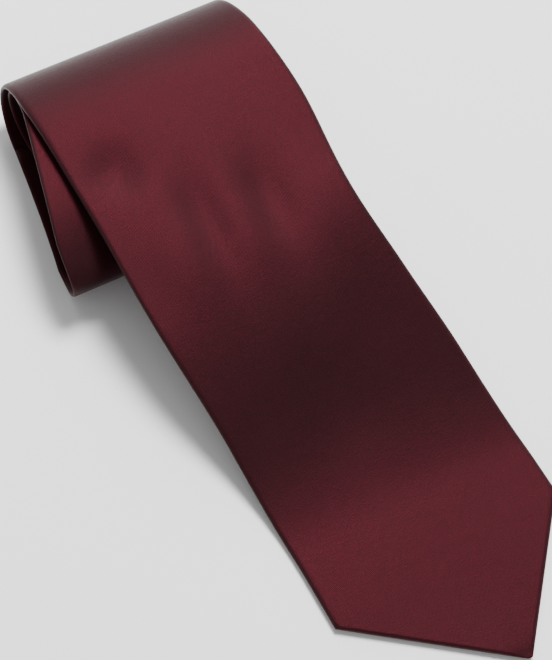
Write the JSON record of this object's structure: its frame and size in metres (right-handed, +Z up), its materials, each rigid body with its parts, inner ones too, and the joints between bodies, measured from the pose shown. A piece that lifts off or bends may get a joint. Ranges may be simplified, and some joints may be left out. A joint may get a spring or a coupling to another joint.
{
  "type": "necktie",
  "caption": "Satin necktie wound flat with its pointed front blade laid out on top; the blade lifts off the winding and bends in two places.",
  "frame": {"origin": "middle of the base of the whole tie, on the surface that it lies on", "axes": "+Z up; +Y along the tie from the point of the front blade to the outer fold; +X across, to the right seen from above with the point nearest"},
  "size_m": [0.1192, 0.2498, 0.0332],
  "materials": {
    "satin": "satin",
    "satin_back": "satin",
    "interlining": "brushed wool blend",
    "tipping": "fine lining satin",
    "thread": "sewing thread",
    "dark_label": "woven label tape, blank",
    "pale_label": "printed label tape, blank"
  },
  "bodies": {
    "winding": {"front_blade_satin_wound": "satin", "neck_satin": "satin", "tail_blade_satin": "satin", "front_blade_satin_fold": "satin", "interlining_fold": "interlining", "interlining_wound": "interlining", "interlining_tail": "interlining", "slip_stitch_wound": "thread", "tail_tipping": "tipping", "tail_bar_tack": "thread"},
    "blade_upper": {"front_blade_satin_upper": "satin", "interlining_upper": "interlining", "slip_stitch_upper": "thread", "keeper_loop": "satin_back", "keeper_tack_left": "thread", "keeper_tack_right": "thread", "blank_label": "dark_label", "label_stitch_left": "thread", "label_stitch_right": "thread"},
    "blade_middle": {"front_blade_satin_middle": "satin", "interlining_middle": "interlining", "slip_stitch_middle": "thread"},
    "blade_tip": {"front_blade_satin_tip": "satin", "interlining_tip": "interlining", "front_tipping": "tipping", "front_bar_tack": "thread", "slack_thread_loop": "thread", "care_label": "pale_label"}
  },
  "joints": [
    {"name": "front_blade_lift", "type": "hinge", "parent": "winding", "child": "blade_upper", "pos_m": [0, 0.12512, 0.0166], "axis": [-1, 0, 0], "range_deg": [0, 110], "deforming": ["front_blade_satin_fold", "interlining_fold"]},
    {"name": "front_blade_flex", "type": "hinge", "parent": "blade_upper", "child": "blade_middle", "pos_m": [0, 0.05593, 0.0332], "axis": [-1, 0, 0], "range_deg": [0, 60]},
    {"name": "tip_flex", "type": "hinge", "parent": "blade_middle", "child": "blade_tip", "pos_m": [0, -0.04319, 0.00296], "axis": [-1, 0, 0], "range_deg": [0, 60]}
  ]
}
